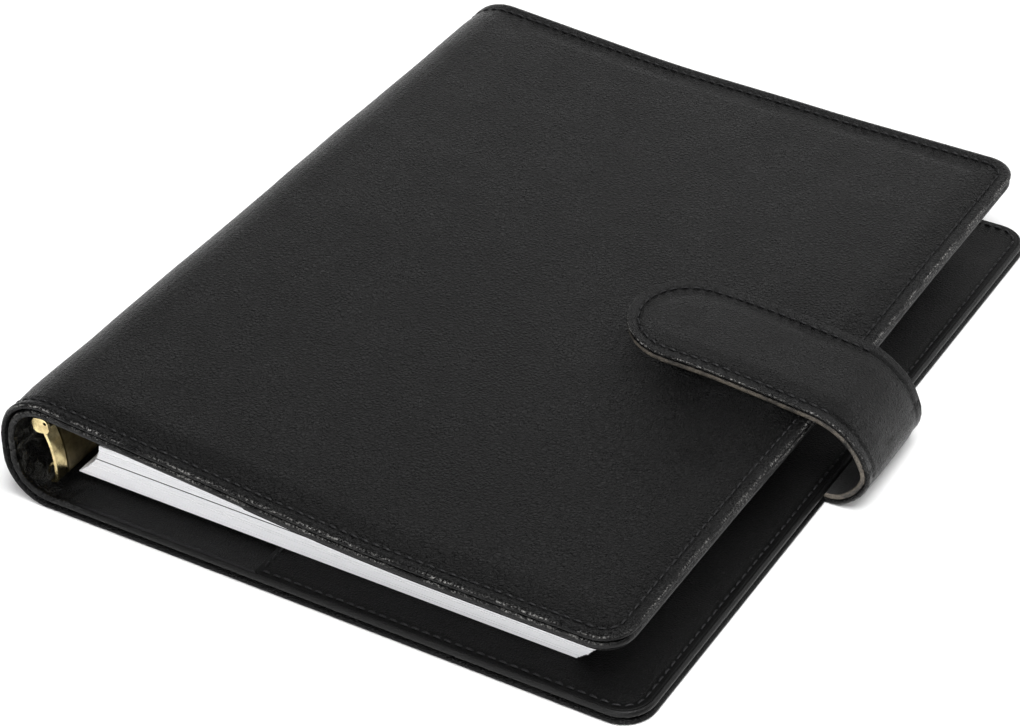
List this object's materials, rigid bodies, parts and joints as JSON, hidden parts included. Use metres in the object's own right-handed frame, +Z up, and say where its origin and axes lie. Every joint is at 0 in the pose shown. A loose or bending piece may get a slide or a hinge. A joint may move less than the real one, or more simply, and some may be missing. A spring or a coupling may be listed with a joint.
{
  "type": "ring-binder organiser cover",
  "caption": "Closed leather six-ring organiser cover for A5 sheets with padded boards, brass ring mechanism, page stack and a snap strap.",
  "frame": {"origin": "on the surface it lies on, under the middle of the whole closed organiser, strap included", "axes": "+X from the spine to the fore edge where the strap is, +Y along the spine from the near end to the far end, +Z up from the back cover to the front cover"},
  "size_m": [0.1986, 0.235, 0.032],
  "materials": {
    "cover_leather": "black grained leather, semi-matt, padded, black stitching",
    "lining_leather": "black lining leather, semi-matt",
    "pocket_leather": "black pocket leather, semi-matt",
    "strap_leather": "black grained strap leather with raw dark edges",
    "foam": "thin dark foam padding",
    "board": "grey-brown stiff board",
    "ring_brass": "polished brass-plated sheet and wire",
    "plate_brass": "dull brushed brass plating",
    "snap_metal": "dark nickel plating",
    "paper": "white uncoated paper, stacked sheets",
    "divider": "dark thin divider sheet"
  },
  "bodies": {
    "back_cover": {"back_outer_leather": "cover_leather", "back_foam_pad": "foam", "back_board": "board", "back_lining": "lining_leather", "back_pocket_panel": "pocket_leather", "strap_root_leather": "strap_leather", "strap_root_lining": "lining_leather"},
    "spine": {"spine_outer_leather": "cover_leather", "spine_board": "board", "spine_lining": "lining_leather", "ring_cover_plate": "plate_brass", "mounting_posts": "ring_brass", "mounting_rivets": "ring_brass", "lever_pins": "ring_brass"},
    "front_cover": {"front_outer_leather": "cover_leather", "front_foam_pad": "foam", "front_board": "board", "front_lining": "lining_leather", "front_pocket_panel": "pocket_leather", "front_card_pocket": "pocket_leather", "snap_stud": "snap_metal", "stud_washer": "snap_metal"},
    "rear_sheets": {"rear_pages": "paper", "divider_sheet": "divider"},
    "front_sheets": {"front_pages": "paper"},
    "upper_rings": {"upper_blade": "plate_brass", "upper_half_rings": "ring_brass"},
    "lower_rings": {"lower_blade": "plate_brass", "lower_half_rings": "ring_brass"},
    "bottom_lever": {"bottom_end_lever": "ring_brass"},
    "top_lever": {"top_end_lever": "ring_brass"},
    "strap_side": {"strap_side_leather": "strap_leather", "strap_side_lining": "lining_leather"},
    "strap_tab": {"strap_tab_leather": "strap_leather", "strap_tab_lining": "lining_leather", "strap_stiffener": "board", "snap_cap": "snap_metal", "snap_socket": "snap_metal"}
  },
  "joints": [
    {"name": "spine_hinge", "type": "hinge", "parent": "back_cover", "child": "spine", "pos_m": [-0.09544, 0, 0.00381], "axis": [0, -1, 0], "range_deg": [0, 90]},
    {"name": "front_cover_hinge", "type": "hinge", "parent": "spine", "child": "front_cover", "pos_m": [-0.09515, 0, 0.0279], "axis": [0, -1, 0], "range_deg": [0, 90]},
    {"name": "rear_pages_hinge", "type": "hinge", "parent": "spine", "child": "rear_sheets", "pos_m": [-0.07957, 0, 0.00924], "axis": [0, 1, 0], "range_deg": [0, 93.8], "deforming": ["rear_pages", "divider_sheet"]},
    {"name": "front_pages_hinge", "type": "hinge", "parent": "spine", "child": "front_sheets", "pos_m": [-0.08283, 0, 0.01269], "axis": [0, -1, 0], "range_deg": [0, 90], "deforming": ["front_pages"]},
    {"name": "bottom_lever_hinge", "type": "hinge", "parent": "spine", "child": "bottom_lever", "pos_m": [-0.08921, -0.1055, 0.01333], "axis": [0.1478, 0, -0.989], "range_deg": [0, 16]},
    {"name": "top_lever_hinge", "type": "hinge", "parent": "spine", "child": "top_lever", "pos_m": [-0.08921, 0.1055, 0.01333], "axis": [-0.1478, 0, 0.989], "range_deg": [0, 16]},
    {"name": "upper_rings_hinge", "type": "hinge", "parent": "spine", "child": "upper_rings", "pos_m": [-0.09046, 0, 0.02032], "axis": [0, -1, 0], "range_deg": [0, 10]},
    {"name": "lower_rings_hinge", "type": "hinge", "parent": "spine", "child": "lower_rings", "pos_m": [-0.08836, 0, 0.00628], "axis": [0, 1, 0], "range_deg": [0, 10]},
    {"name": "strap_hinge", "type": "hinge", "parent": "back_cover", "child": "strap_side", "pos_m": [0.09925, 0, 0.01045], "axis": [0, 1, 0], "range_deg": [0, 90]},
    {"name": "strap_tab_hinge", "type": "hinge", "parent": "strap_side", "child": "strap_tab", "pos_m": [0.09427, 0, 0.02342], "axis": [0, 1, 0], "range_deg": [0, 75], "deforming": ["strap_tab_leather", "strap_tab_lining", "strap_stiffener", "snap_cap", "snap_socket"]}
  ],
  "couplings": [
    {"joint": "rear_pages_hinge", "follows": "spine_hinge", "ratio": 1.0411},
    {"joint": "front_pages_hinge", "follows": "front_cover_hinge", "ratio": 1},
    {"joint": "bottom_lever_hinge", "follows": "upper_rings_hinge", "ratio": 1.6},
    {"joint": "top_lever_hinge", "follows": "upper_rings_hinge", "ratio": 1.6},
    {"joint": "lower_rings_hinge", "follows": "upper_rings_hinge", "ratio": 1},
    {"joint": "strap_tab_hinge", "follows": "strap_hinge", "ratio": 0.83333}
  ]
}
